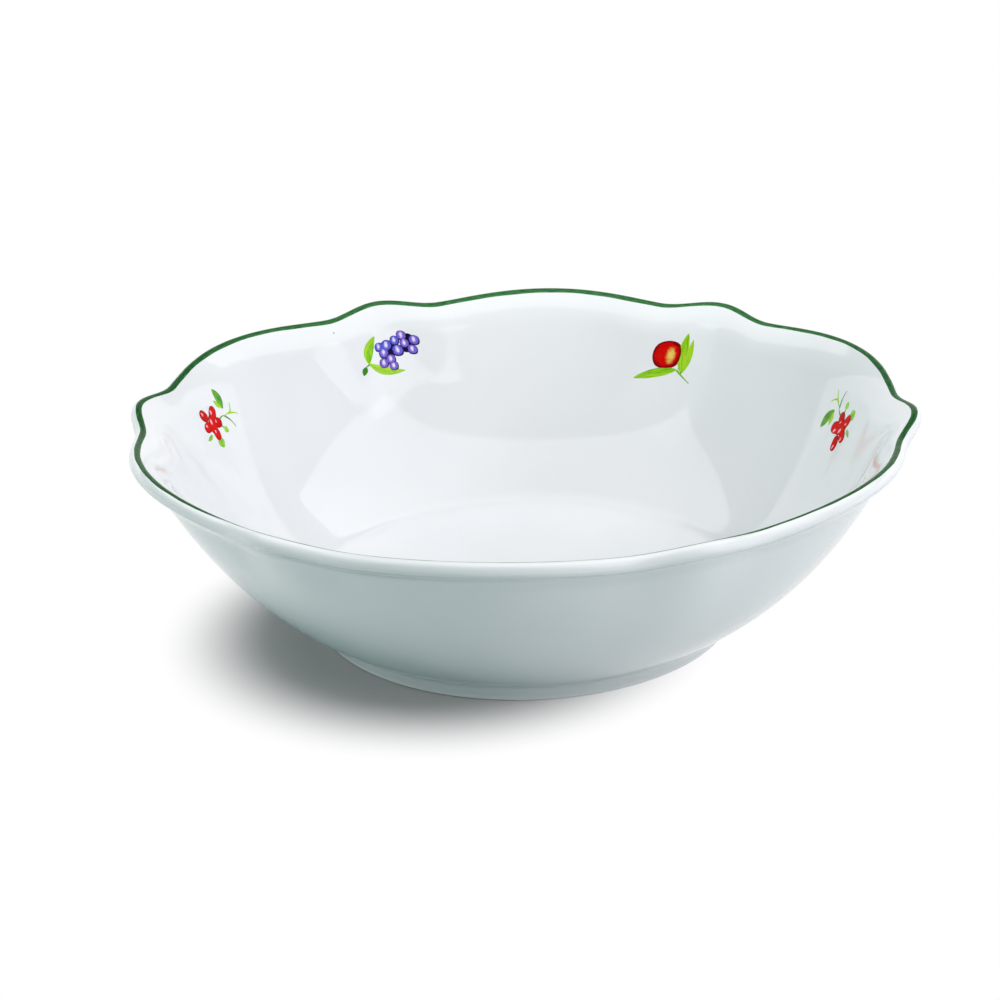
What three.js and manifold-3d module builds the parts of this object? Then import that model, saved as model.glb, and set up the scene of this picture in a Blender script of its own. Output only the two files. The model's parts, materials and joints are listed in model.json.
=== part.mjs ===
// Salad bowl in glazed porcelain: a low foot ring, a rounded wall that opens into a flared and
// scalloped lip, a green enamel line fired on the lip and fruit sprigs fired on the inner wall.
// Millimetres, +Z up. The origin is the centre of the foot ring's bearing face, on the table,
// and +X points at one of the short lobes of the rim.
import * as THREE from 'three';
import { mergeVertices } from 'three/addons/utils/BufferGeometryUtils.js';
import Module from 'manifold-3d';

const wasm = await Module();
wasm.setup();

const { degToRad, lerp, clamp } = THREE.MathUtils;

// Driving dimensions of the section
const LIP_RADIUS = 122.8; // axis to the centre of the rounded lip, on a lobe
const HEIGHT = 70; // table to the crest of the lip, on a lobe
const LIP_THICKNESS = 4.4; // the lip is a full round of this diameter
const FLARE_ANGLE = degToRad(31); // slope of the lip above the horizontal
const FLARE_RADIUS = 20; // outer bend from the wall into the lip
const WALL_THICKNESS = 4.2; // above the foot ring
const WALL_TOP_ANGLE = degToRad(62); // slope where the wall meets the flare
const WALL_LOW_ANGLE = degToRad(30); // slope where the wall leaves the foot ring
const WALL_LOW_REACH = 24.6; // how far the low slope governs the curve
const WALL_TOP_REACH = 22.8; // how far the top slope governs the curve
const FLOOR_THICKNESS = 5.2;
const WELL_RISE = 2; // height of the bend from the flat floor into the wall
const FOOT_RADIUS = 67.2; // outside of the bearing face
const FOOT_HEIGHT = 6.3;
const FOOT_TAPER = 3.2; // how much wider the foot ring is at its top
const FOOT_WIDTH = 5; // across the bearing face, with its rounded edges
const FOOT_ROUND = 1; // rounding of the bearing face's edges
const FOOT_RECESS = 5; // hollow under the floor, inside the foot ring
const FOOT_INNER_TAPER = 2; // slope of the foot ring's inner side over the recess

// Driving dimensions of the scalloped rim
const LOBE_PAIRS = 6; // a long lobe and a short one, six times round
const NOTCH_DEPTH = 4.1; // along the slope of the lip
const SHORT_LOBE_ANGLE = degToRad(10); // half of a short lobe, from its middle to the notch
const NOTCH_SHARPNESS = 0.75; // under 1, the long lobe springs more steeply from the notch
const SCALLOP_BASE = 15; // below this height the wall is round

// Driving dimensions of the fired colours
const FILM = 0.25; // thickness of a colour
const FILM_GAP = 0.06; // from the glaze to a colour
const COLOUR_GAP = 0.3; // between two colours of one sprig
const LINE_OUTER_ANGLE = degToRad(70); // where the rim line starts on the lip, 90 is its crest
const LINE_LAP = 1.3; // how far the line runs down the inner wall
const SPRIG_DROP = 17; // crest of the lip down to the level of the sprigs
const STALK_WIDTH = 0.9;
const RED_BERRY_RADIUS = 2.1; // half the width of an oval berry
const BLUE_BERRY_RADIUS = 2.1;
const ROUND_FRUIT_RADIUS = 5.8;

// Colours
const PORCELAIN = 0xe6eaea;
const LINE_GREEN = 0x2f6b3c;
const LEAF_GREEN = 0x6fb52a;
const GLAZE_ROUGHNESS = 0.08;
const COLOUR_ROUGHNESS = 0.2;

// The sprigs, drawn flat with x to the right and y up for someone inside the bowl. The fruits of a
// bunch and the joint of the leaves are placed in fruit radii. An oval fruit is stretched along a
// direction, its third number. Directions are in degrees; a leaf has a direction, a length, a width
// and a bend to the left, a stalk a direction and a length.
const RED_BERRIES = {
  fruit: 'red_berries',
  colour: 0xc81414,
  radius: RED_BERRY_RADIUS,
  stretch: 1.4,
  bunch: [
    [-2.5, 0.9, 60], [-4.1, 3.1, 132], [-1.25, 2.2, 38], [-4.35, 1.05, 174], [-2.75, -0.75, 268],
    [-1, 0.5, -22],
  ],
  joint: [2, 0.45],
  leaves: [[86, 10, 4.4, -0.4], [110, 7.2, 3, 0]],
  stalks: [[176, 4.4], [-61, 6.4], [-18, 7.6]],
};
const ROUND_FRUIT = {
  fruit: 'round_fruit',
  colour: 0xd0341a,
  radius: ROUND_FRUIT_RADIUS,
  stretch: 1,
  bunch: [[0.05, 0.24, 0]],
  joint: [1.07, -0.79],
  leaves: [[196, 17, 3.9, -0.6], [88, 14.6, 4.4, 0.4], [75, 12.2, 2.8, -0.4]],
  stalks: [[-38, 6.2]],
};
const BLUE_BERRIES = {
  fruit: 'blue_berries',
  colour: 0x5a55a8,
  radius: BLUE_BERRY_RADIUS,
  stretch: 1,
  bunch: [
    [-2.2, 2.4, 0], [-0.75, 2.35, 0], [0.85, 3, 0], [2.2, 3.8, 0], [4.25, 3, 0], [2.5, 2.4, 0],
    [1.1, 1.25, 0], [3.65, 1.3, 0], [-1.5, 1.2, 0], [-0.45, -0.1, 0], [-1.85, -0.5, 0], [-0.2, -1.3, 0],
    [-0.1, 0.95, 0], [3.3, 3.4, 0], [2.6, 1.5, 0],
  ],
  joint: [-4.55, 0],
  leaves: [[64, 10, 4.5, 1.2], [-21, 14, 3.4, -1.8]],
  stalks: [[205, 3.6]],
};

// Where the sprigs lie: the angle from +X and the turn in the wall, both in degrees, and the rise
// above the common level
const SPRIGS = [
  { design: RED_BERRIES, angle: 20.5, turn: 158, rise: 2 },
  { design: ROUND_FRUIT, angle: 67, turn: 0, rise: 0 },
  { design: BLUE_BERRIES, angle: 120, turn: 0, rise: 0 },
  { design: RED_BERRIES, angle: 164, turn: 0, rise: 0 },
  { design: ROUND_FRUIT, angle: 214, turn: -10, rise: 0 },
  { design: BLUE_BERRIES, angle: 254, turn: 12, rise: 0 },
  { design: RED_BERRIES, angle: 294, turn: 0, rise: 0 },
  { design: ROUND_FRUIT, angle: 335, turn: 8, rise: 0 },
];

// Facets
const STEPS_ROUND = LOBE_PAIRS * 18;
const STEPS_WALL = 6;
const STEPS_FLARE = 3;
const STEPS_LIP = 4;
const STEPS_LINE = 2;
const STEPS_WELL = 3;
const STEPS_EDGE = 2;
const STEPS_LEAF = 4;
const FRUIT_FACET = 1.4; // length of a facet round a fruit
const WELL_SEARCH = 0.005; // share of the wall's length in which the start of the well is found
const CUTTER_DEPTH = 12; // of the cutters that go through the film on the wall
const SPRIG_REACH = 24; // height of film kept above and below the middle of a sprig

const vec = (r, z) => new THREE.Vector2(r, z);
const heading = (angle) => vec(Math.cos(angle), Math.sin(angle));
const turned = (v) => vec(v.y, -v.x); // a quarter turn clockwise: the outer normal of a rising wall

// Section: points of the outline in (radius, height), each with the outward normal of the glaze

function arcStations(centre, radius, from, to, steps) {
  return Array.from({ length: steps + 1 }, (_, i) => {
    const normal = heading(lerp(from, to, i / steps));
    return { point: centre.clone().addScaledVector(normal, radius), normal };
  });
}

const moved = ({ point, normal }, distance) => point.clone().addScaledVector(normal, distance);
const points = (stations) => stations.map(({ point }) => point);
const opposite = ({ point, normal }) => ({ point, normal: normal.clone().negate() });

const floorLevel = FOOT_RECESS + FLOOR_THICKNESS;
const lipCentre = vec(LIP_RADIUS, HEIGHT - LIP_THICKNESS / 2);
const flareCentre = lipCentre
  .clone()
  .addScaledVector(turned(heading(FLARE_ANGLE)), LIP_THICKNESS / 2 + FLARE_RADIUS);
const flareStart = WALL_TOP_ANGLE + Math.PI / 2;
const flareEnd = FLARE_ANGLE + Math.PI / 2;
const outerFlare = arcStations(flareCentre, FLARE_RADIUS, flareStart, flareEnd, STEPS_FLARE).map(opposite);
const innerFlareRadius = FLARE_RADIUS + LIP_THICKNESS;
const lineEnd = flareEnd + LINE_LAP / innerFlareRadius;
const innerFlare = arcStations(flareCentre, innerFlareRadius, lineEnd, flareStart, STEPS_FLARE);

// The outside of the wall, from the foot ring up to the flare
const wallFoot = vec(FOOT_RADIUS + FOOT_TAPER, FOOT_HEIGHT);
const wallTop = outerFlare[0].point;
const wallCurve = new THREE.CubicBezierCurve(
  wallFoot,
  wallFoot.clone().addScaledVector(heading(WALL_LOW_ANGLE), WALL_LOW_REACH),
  wallTop.clone().addScaledVector(heading(WALL_TOP_ANGLE), -WALL_TOP_REACH),
  wallTop,
);

function outerStation(share) {
  return { point: wallCurve.getPointAt(share), normal: turned(wallCurve.getTangentAt(share)) };
}

// The inside of the wall is the outside moved in by the thickness
function innerStation(share) {
  const thickness = lerp(WALL_THICKNESS, LIP_THICKNESS, share);
  const outside = outerStation(share);
  return { point: moved(outside, -thickness), normal: outside.normal.negate() };
}

const outerWall = Array.from({ length: STEPS_WALL }, (_, i) => outerStation(i / STEPS_WALL));

// From the lower edge of the rim line down to the bend of the well
function innerWall() {
  let lowest = 0;
  while (innerStation(lowest).point.y < floorLevel + WELL_RISE) lowest += WELL_SEARCH;
  const wall = Array.from({ length: STEPS_WALL }, (_, i) =>
    innerStation(lerp(1, lowest, (i + 1) / STEPS_WALL)),
  );
  return [...innerFlare, ...wall];
}

// The bend from the wall into the flat floor of the well
function well(lowest) {
  const down = turned(lowest.normal).negate();
  const reach = (lowest.point.y - floorLevel) / -down.y;
  const corner = lowest.point.clone().addScaledVector(down, reach);
  const curve = new THREE.QuadraticBezierCurve(lowest.point, corner, vec(corner.x - reach, floorLevel));
  return [...curve.getPoints(STEPS_WELL).slice(1), vec(0, floorLevel)];
}

// The underside: the recess, then the foot ring with its flat bearing face at height zero
function footRing() {
  const outerEdge = vec(FOOT_RADIUS - FOOT_ROUND, FOOT_ROUND);
  const innerEdge = vec(FOOT_RADIUS - FOOT_WIDTH + FOOT_ROUND, FOOT_ROUND);
  return [
    vec(0, FOOT_RECESS),
    vec(FOOT_RADIUS - FOOT_WIDTH - FOOT_INNER_TAPER, FOOT_RECESS),
    ...points(arcStations(innerEdge, FOOT_ROUND, -Math.PI, -Math.PI / 2, STEPS_EDGE)),
    ...points(arcStations(outerEdge, FOOT_ROUND, -Math.PI / 2, 0, STEPS_EDGE)),
  ];
}

// The round of the lip, bare on the outside and then under the rim line
const lipRound = LIP_THICKNESS / 2;
const lipOutside = arcStations(lipCentre, lipRound, flareEnd - Math.PI, LINE_OUTER_ANGLE, STEPS_LIP);
const lipUnderLine = arcStations(lipCentre, lipRound, LINE_OUTER_ANGLE, flareEnd, STEPS_LINE);
const inner = innerWall();

// Rim: every point is drawn back along the slope of the lip, most at the notches, least low down

function notchShare(angle) {
  const period = (2 * Math.PI) / LOBE_PAIRS;
  const off = Math.abs(angle - period * Math.round(angle / period)); // from the middle of a short lobe
  if (off < SHORT_LOBE_ANGLE) return (1 - Math.cos((Math.PI * off) / SHORT_LOBE_ANGLE)) / 2;
  const along = (off - SHORT_LOBE_ANGLE) / (period / 2 - SHORT_LOBE_ANGLE);
  return (1 + Math.cos(Math.PI * along ** NOTCH_SHARPNESS)) / 2;
}

function scalloped(x, y, z) {
  const angle = Math.atan2(y, x);
  const share = clamp((z - SCALLOP_BASE) / (lipCentre.y - SCALLOP_BASE), 0, 1) ** 2;
  const pull = NOTCH_DEPTH * notchShare(angle) * share;
  const inwards = pull * Math.cos(FLARE_ANGLE);
  return new THREE.Vector3(
    x - inwards * Math.cos(angle),
    y - inwards * Math.sin(angle),
    z - pull * Math.sin(FLARE_ANGLE),
  );
}

// A section turned round the axis and then scalloped. Each square between two points of the section
// is split into two triangles; in the first rows, as many as asked for, along the other diagonal.
function turnedSolid(section, otherRows = 0) {
  const geometry = new THREE.LatheGeometry(section, STEPS_ROUND).rotateX(Math.PI / 2);
  const position = geometry.getAttribute('position');
  for (let i = 0; i < position.count; i += 1) {
    const { x, y, z } = scalloped(position.getX(i), position.getY(i), position.getZ(i));
    position.setXYZ(i, x, y, z);
  }
  const corners = geometry.index.array;
  const rows = section.length - 1;
  for (let square = 0; square < rows * STEPS_ROUND; square += 1) {
    const [a, b, d, c] = corners.slice(6 * square);
    if (square % rows < otherRows) corners.set([a, b, c, a, c, d], 6 * square);
  }
  return geometry;
}

// A thin layer over some stations of the section. Its underside is turned from the lowest station
// up, against the order of the glaze below it, and the other diagonal keeps the two parallel.
function filmOver(stations) {
  const underside = stations.map((station) => moved(station, FILM_GAP)).reverse();
  const outside = stations.map((station) => moved(station, FILM_GAP + FILM));
  return turnedSolid([...underside, ...outside, underside[0]], stations.length - 1);
}

// Booleans

function solidOf(geometry) {
  const bare = geometry.clone();
  bare.deleteAttribute('normal');
  bare.deleteAttribute('uv');
  const merged = mergeVertices(bare);
  return new wasm.Manifold(
    new wasm.Mesh({
      numProp: 3,
      vertProperties: merged.getAttribute('position').array,
      triVerts: new Uint32Array(merged.index.array),
    }),
  );
}

function geometryOf(solid) {
  const mesh = solid.getMesh();
  const geometry = new THREE.BufferGeometry();
  geometry.setAttribute('position', new THREE.BufferAttribute(mesh.vertProperties, 3));
  geometry.setIndex(new THREE.BufferAttribute(mesh.triVerts, 1));
  geometry.computeVertexNormals();
  return geometry;
}

// Flat outlines of a sprig's pieces

// A round or oval fruit, grown all round to make room for it
function berry([x, y, direction], radius, stretch, grown) {
  const along = heading(degToRad(direction));
  const sides = Math.ceil((2 * Math.PI * radius) / FRUIT_FACET);
  const corners = Array.from({ length: sides }, (_, i) => {
    const { x: long, y: short } = heading((2 * Math.PI * i) / sides);
    return vec(x, y)
      .multiplyScalar(radius)
      .addScaledVector(along, long * (radius * stretch + grown))
      .addScaledVector(turned(along), -short * (radius + grown));
  });
  return new THREE.Shape(corners);
}

// A pointed oval from its base to its tip, bent to the left
function leaf(base, direction, length, width, bend) {
  const along = heading(degToRad(direction));
  const tip = base.clone().addScaledVector(along, length);
  const belly = base.clone().addScaledVector(along, length / 2);
  const side = (reach) =>
    new THREE.QuadraticBezierCurve(
      base,
      belly.clone().addScaledVector(turned(along), reach - 2 * bend),
      tip,
    ).getPoints(STEPS_LEAF);
  return new THREE.Shape([...side(width), ...side(-width).slice(1, -1).reverse()]);
}

// A straight strip that starts half its width before its base
function stalk(base, direction, length) {
  const along = heading(degToRad(direction));
  const across = turned(along).multiplyScalar(STALK_WIDTH / 2);
  const start = base.clone().addScaledVector(along, -STALK_WIDTH / 2);
  const end = base.clone().addScaledVector(along, length);
  return new THREE.Shape([
    start.clone().add(across),
    end.clone().add(across),
    end.clone().sub(across),
    start.clone().sub(across),
  ]);
}

// The layer of colour over the inner wall that every sprig is cut from
const sprigLevel = HEIGHT - SPRIG_DROP;
const sprigWall = inner.slice(1).filter(({ point }) => Math.abs(point.y - sprigLevel) < SPRIG_REACH);
const film = solidOf(filmOver(sprigWall));

// Matrix from a sprig's plane to its place on the inner wall
function sprigPlace(angle, rise, turn) {
  const above = inner.findLastIndex(({ point }) => point.y > sprigLevel);
  const [high, low] = [inner[above], inner[above + 1]];
  const share = (sprigLevel - low.point.y) / (high.point.y - low.point.y);
  const radius = lerp(low.point.x, high.point.x, share);
  const normal = low.normal.clone().lerp(high.normal, share).normalize();
  const right = new THREE.Vector3(Math.sin(angle), -Math.cos(angle), 0);
  const out = new THREE.Vector3(normal.x * Math.cos(angle), normal.x * Math.sin(angle), normal.y);
  const up = out.clone().cross(right);
  const middle = scalloped(radius * Math.cos(angle), radius * Math.sin(angle), sprigLevel);
  const place = new THREE.Matrix4().makeBasis(right, up, out);
  place.setPosition(middle.addScaledVector(up, rise));
  return place.multiply(new THREE.Matrix4().makeRotationZ(turn));
}

// Outlines drawn out into one cutter that goes through the film
function cutter(shapes, place) {
  const prisms = shapes.map((shape) => {
    const geometry = new THREE.ExtrudeGeometry(shape, { depth: CUTTER_DEPTH, bevelEnabled: false });
    return solidOf(geometry.translate(0, 0, -CUTTER_DEPTH / 2).applyMatrix4(place));
  });
  return prisms.reduce((all, prism) => all.add(prism));
}

function sprigSolids({ radius, stretch, bunch, joint, leaves, stalks }, place) {
  const berries = (grown) => bunch.map((spot) => berry(spot, radius, stretch, grown));
  const base = vec(...joint).multiplyScalar(radius);
  const blades = leaves.map((size) => leaf(base, ...size));
  const stems = stalks.map((size) => stalk(base, ...size));
  const fruit = cutter(berries(0), place);
  const green = cutter([...blades, ...stems], place).subtract(cutter(berries(COLOUR_GAP), place));
  return { fruit: film.intersect(fruit), leaves: film.intersect(green) };
}

// The bowl

const bowl = new THREE.Group();

function add(name, geometry, color, roughness) {
  const material = new THREE.MeshStandardMaterial({ color, roughness, metalness: 0 });
  const mesh = new THREE.Mesh(geometry, material);
  mesh.name = name;
  bowl.add(mesh);
}

const section = [
  ...footRing(),
  ...points([...outerWall, ...outerFlare]),
  ...points(lipOutside).slice(1),
  ...points(lipUnderLine).slice(1),
  ...points(inner),
  ...well(inner.at(-1)),
];
add('porcelain_bowl', turnedSolid(section), PORCELAIN, GLAZE_ROUGHNESS);
add('green_rim_line', filmOver([...lipUnderLine, inner[0]]), LINE_GREEN, COLOUR_ROUGHNESS);

SPRIGS.forEach(({ design, angle, turn, rise }, i) => {
  const solids = sprigSolids(design, sprigPlace(degToRad(angle), rise, degToRad(turn)));
  add(`sprig_${i + 1}_${design.fruit}`, geometryOf(solids.fruit), design.colour, COLOUR_ROUGHNESS);
  add(`sprig_${i + 1}_leaves`, geometryOf(solids.leaves), LEAF_GREEN, COLOUR_ROUGHNESS);
});

export default bowl;
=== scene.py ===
# %% [markdown]
# # A porcelain salad bowl with a scalloped rim
#
# The real bowl is one piece of white porcelain under a clear glaze. Two kinds of colour are fired on
# top of the glaze: a green line round the lip and small fruit sprigs inside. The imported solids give
# the exact sizes, and this lesson builds smooth, finely divided pieces over them. Everything is in
# the frame of the solids, so nothing has to be fitted by eye.

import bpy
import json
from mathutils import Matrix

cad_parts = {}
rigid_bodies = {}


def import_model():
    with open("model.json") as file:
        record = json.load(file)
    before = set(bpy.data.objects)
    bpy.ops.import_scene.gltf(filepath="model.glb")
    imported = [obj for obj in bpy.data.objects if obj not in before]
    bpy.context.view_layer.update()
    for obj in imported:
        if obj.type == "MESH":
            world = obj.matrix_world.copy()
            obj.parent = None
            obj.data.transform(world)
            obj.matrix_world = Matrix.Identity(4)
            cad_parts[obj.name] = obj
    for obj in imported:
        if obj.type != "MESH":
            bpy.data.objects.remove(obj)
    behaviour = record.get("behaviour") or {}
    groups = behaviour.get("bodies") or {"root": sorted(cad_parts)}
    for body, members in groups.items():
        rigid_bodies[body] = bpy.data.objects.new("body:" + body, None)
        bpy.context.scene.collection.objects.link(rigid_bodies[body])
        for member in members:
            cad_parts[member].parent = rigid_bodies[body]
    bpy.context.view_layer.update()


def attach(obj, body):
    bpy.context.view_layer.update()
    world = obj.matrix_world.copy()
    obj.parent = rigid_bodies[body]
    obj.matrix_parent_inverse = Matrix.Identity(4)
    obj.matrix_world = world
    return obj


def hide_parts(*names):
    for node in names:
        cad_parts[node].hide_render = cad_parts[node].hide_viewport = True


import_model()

# %% Modules and units
import json

import bpy
import numpy as np
from mathutils import Matrix, Vector

MM = 0.001  # shapes are worked out in millimetres, meshes are stored in metres


# %% [markdown]
# ## The section
#
# A potter shapes such a bowl by turning it against a template, so its section is the natural place to
# start: foot ring, rounded wall, flared lip, and back down the inside to the flat well. A spun curve
# (the Screw modifier) could make the round form, but the rim has lobes, so the section is kept as a
# list of points with normals, and each ring of the mesh is then bent on its own. The sizes repeat
# those of the solids.

# %% Sizes of the section
LIP_RADIUS = 122.8  # axis to the centre of the rounded lip, on a lobe
HEIGHT = 70.0  # table to the crest of the lip
LIP_THICKNESS = 4.4
FLARE_ANGLE = 31.0  # slope of the lip above the horizontal, degrees
FLARE_RADIUS = 20.0
WALL_THICKNESS = 4.2
WALL_TOP_ANGLE = 62.0
WALL_LOW_ANGLE = 30.0
WALL_LOW_REACH = 24.6
WALL_TOP_REACH = 22.8
FLOOR_LEVEL = 10.2
WELL_RISE = 2.0
FOOT_RADIUS = 67.2
FOOT_HEIGHT = 6.3
FOOT_TAPER = 3.2
FOOT_WIDTH = 5.0
FOOT_ROUND = 1.0
FOOT_RECESS = 5.0
FOOT_INNER_TAPER = 2.0
CORNER_REACH = 1.6  # glaze softens the inner corners of the foot ring this far each way
print("overall: %.0f mm across, %.0f mm high" % (2 * LIP_RADIUS + LIP_THICKNESS, HEIGHT))


# %% Curves that the section is made of
def unit(degrees):
    angle = np.radians(degrees)
    return np.stack((np.cos(angle), np.sin(angle)), axis=-1)


def arc(centre, radius, start, end, steps):
    return centre + radius * unit(np.linspace(start, end, steps + 1))


def straight(start, end, steps):
    share = np.linspace(0, 1, steps + 1)[:, None]
    return start + (end - start) * share


def quadratic(start, control, end, steps):
    t = np.linspace(0, 1, steps + 1)[:, None]
    return start * (1 - t) ** 2 + 2 * control * t * (1 - t) + end * t**2


def soft_corner(before, corner, after, steps=8):
    """The corner of two straight stretches, rounded over CORNER_REACH each way."""
    back = corner + CORNER_REACH * (before - corner) / np.linalg.norm(before - corner)
    on = corner + CORNER_REACH * (after - corner) / np.linalg.norm(after - corner)
    return quadratic(back, corner, on, steps)


def evenly(points, shares):
    """Points at given shares of a polyline's length, with the directions there."""
    step = np.linalg.norm(np.diff(points, axis=0), axis=1)
    length = np.concatenate(([0], np.cumsum(step)))
    at = np.asarray(shares) * length[-1]
    slope = np.gradient(points, length, axis=0)
    spots = np.column_stack([np.interp(at, length, points[:, k]) for k in (0, 1)])
    ways = np.column_stack([np.interp(at, length, slope[:, k]) for k in (0, 1)])
    return spots, ways / np.linalg.norm(ways, axis=1)[:, None]


# %% Outer wall, flare and lip
FLARE_STEPS = 14
LIP_STEPS = 24
WALL_STEPS = 200

lip_centre = np.array((LIP_RADIUS, HEIGHT - LIP_THICKNESS / 2))
flare_centre = lip_centre + (LIP_THICKNESS / 2 + FLARE_RADIUS) * unit(FLARE_ANGLE - 90)
flare_start, flare_end = WALL_TOP_ANGLE + 90, FLARE_ANGLE + 90
outer_flare = arc(flare_centre, FLARE_RADIUS, flare_start, flare_end, FLARE_STEPS)
inner_flare = arc(flare_centre, FLARE_RADIUS + LIP_THICKNESS, flare_end, flare_start, FLARE_STEPS)
lip = arc(lip_centre, LIP_THICKNESS / 2, FLARE_ANGLE - 90, FLARE_ANGLE + 90, LIP_STEPS)

wall_foot = np.array((FOOT_RADIUS + FOOT_TAPER, FOOT_HEIGHT))
wall_top = outer_flare[0]
t = np.linspace(0, 1, 2 * WALL_STEPS + 1)[:, None]
wall_curve = (
    wall_foot * (1 - t) ** 3
    + 3 * (wall_foot + WALL_LOW_REACH * unit(WALL_LOW_ANGLE)) * t * (1 - t) ** 2
    + 3 * (wall_top - WALL_TOP_REACH * unit(WALL_TOP_ANGLE)) * t**2 * (1 - t)
    + wall_top * t**3
)
outer_wall, rising = evenly(wall_curve, np.linspace(0, 1, WALL_STEPS + 1))
print("outer wall: %.1f to %.1f mm from the axis" % (wall_foot[0], wall_top[0]))

# %% Inner wall and well
WELL_STEPS = 16

thickness = np.linspace(WALL_THICKNESS, LIP_THICKNESS, WALL_STEPS + 1)[:, None]
inner_wall = outer_wall + thickness * np.column_stack((-rising[:, 1], rising[:, 0]))
lowest = int(np.argmax(inner_wall[:, 1] >= FLOOR_LEVEL + WELL_RISE))
well_start, well_way = inner_wall[lowest], -rising[lowest]
well_reach = (well_start[1] - FLOOR_LEVEL) / -well_way[1]
well_corner = well_start + well_reach * well_way
well_edge = well_corner - np.array((well_reach, 0.0))
well = quadratic(well_start, well_corner, well_edge, WELL_STEPS)
print("flat well: radius %.1f mm, wall starts at %.1f mm" % (well_edge[0], well_start[0]))

# %% Foot ring
ROUND_STEPS = 6

ring_outer = FOOT_RADIUS - FOOT_ROUND
ring_inner = FOOT_RADIUS - FOOT_WIDTH + FOOT_ROUND
bearing_inside = arc(np.array((ring_inner, FOOT_ROUND)), FOOT_ROUND, 180, 270, ROUND_STEPS)
bearing_outside = arc(np.array((ring_outer, FOOT_ROUND)), FOOT_ROUND, 270, 360, ROUND_STEPS)
recess_corner = np.array((FOOT_RADIUS - FOOT_WIDTH - FOOT_INNER_TAPER, FOOT_RECESS))
recess_bend = soft_corner(np.array((0.0, FOOT_RECESS)), recess_corner, bearing_inside[0])
a_little_up_the_wall = outer_wall[8]
wall_bend = soft_corner(bearing_outside[-1], wall_foot, a_little_up_the_wall)
print("bearing face: %.1f mm wide" % (ring_outer - ring_inner))

# %% The whole section
AXIS_HOLE = 2.0  # the middle of the floor and of the recess is closed by a fan of triangles
RECESS_STEPS = 14
FLOOR_STEPS = 16
SHORT_STEPS = 3
EVERY = 4  # of the walls' points, one in so many is used
BEND_GAP = 0.3  # from the end of the wall's bend to the next point
LEAST_STEP = 0.02  # points closer than this fall together

clear_of_bend = outer_wall[:, 0] > wall_bend[-1, 0] + BEND_GAP
stretches = [
    straight(np.array((AXIS_HOLE, FOOT_RECESS)), recess_bend[0], RECESS_STEPS),
    recess_bend,
    straight(recess_bend[-1], bearing_inside[0], SHORT_STEPS),
    bearing_inside,
    straight(bearing_inside[-1], bearing_outside[0], SHORT_STEPS),
    bearing_outside,
    straight(bearing_outside[-1], wall_bend[0], SHORT_STEPS),
    wall_bend,
    outer_wall[clear_of_bend][::EVERY],
    outer_flare,
    lip,
    inner_flare,
    inner_wall[lowest:][::-1][::EVERY],
    well,
    straight(well_edge, np.array((AXIS_HOLE, FLOOR_LEVEL)), FLOOR_STEPS),
]
section = np.concatenate(stretches)
keep = np.concatenate(([True], np.linalg.norm(np.diff(section, axis=0), axis=1) > LEAST_STEP))
section = section[keep]
along = np.concatenate(([0], np.cumsum(np.linalg.norm(np.diff(section, axis=0), axis=1))))
way = np.gradient(section, along, axis=0)
way /= np.linalg.norm(way, axis=1)[:, None]
outward = np.column_stack((way[:, 1], -way[:, 0]))
print("section: %d points, %.0f mm long" % (len(section), along[-1]))

# %% [markdown]
# ## The scalloped rim
#
# Seen from above the rim has six long lobes and six short ones, with a notch on either side of each
# short lobe. The potter presses them in while the clay is soft, so the whole upper wall gives way and the
# low wall stays round. A lattice could push the wall in, but a formula is exact: each
# point is drawn back along the slope of the lip, fully at a notch and not at all at a lobe, and less
# and less further down.

# %% Draw points back towards the notches
LOBE_PAIRS = 6
NOTCH_DEPTH = 4.1
SHORT_LOBE_ANGLE = np.radians(10)
NOTCH_SHARPNESS = 0.75
SCALLOP_BASE = 15.0


def notch_share(angle):
    period = 2 * np.pi / LOBE_PAIRS
    off = np.abs(angle - period * np.round(angle / period))
    short = (1 - np.cos(np.pi * off / SHORT_LOBE_ANGLE)) / 2
    past = np.clip((off - SHORT_LOBE_ANGLE) / (period / 2 - SHORT_LOBE_ANGLE), 0, 1)
    long = (1 + np.cos(np.pi * past**NOTCH_SHARPNESS)) / 2
    return np.where(off < SHORT_LOBE_ANGLE, short, long)


def glaze_point(distance, angle, lift=0.0):
    """The point of the glaze at a distance along the section and an angle, lifted off by a film."""
    radius = np.interp(distance, along, section[:, 0]) + lift * np.interp(distance, along, outward[:, 0])
    height = np.interp(distance, along, section[:, 1]) + lift * np.interp(distance, along, outward[:, 1])
    share = np.clip((height - SCALLOP_BASE) / (lip_centre[1] - SCALLOP_BASE), 0, 1) ** 2
    pull = NOTCH_DEPTH * notch_share(angle) * share
    slope_r, slope_z = unit(FLARE_ANGLE)
    radius = radius - pull * slope_r
    return np.stack((radius * np.cos(angle), radius * np.sin(angle), height - pull * slope_z), axis=-1)


print("rim: %d lobes, notches %.1f mm deep" % (2 * LOBE_PAIRS, NOTCH_DEPTH))


# %% [markdown]
# ## The porcelain body
#
# Rings of points, one for every point of the section, are joined into four-sided faces, and two fans
# close the middle of the floor and of the recess below it. The result is a closed shell with even
# faces that shades smoothly, so the glaze can mirror lamps without any ripples.

# %% Make the body's mesh
SEGMENTS = LOBE_PAIRS * 72


def add_mesh(name, points_mm, faces):
    mesh = bpy.data.meshes.new(name)
    mesh.from_pydata((np.asarray(points_mm).reshape(-1, 3) * MM).tolist(), [], faces)
    mesh.validate()
    mesh.shade_smooth()
    made = bpy.data.objects.new(name, mesh)
    bpy.context.scene.collection.objects.link(made)
    return made


def ring_faces(rings, segments):
    """Four-sided faces between neighbouring rings that go all the way round."""
    faces = []
    for ring in range(rings - 1):
        for k in range(segments):
            after = (k + 1) % segments
            low, high = ring * segments, (ring + 1) * segments
            faces.append((low + k, low + after, high + after, high + k))
    return faces


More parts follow.
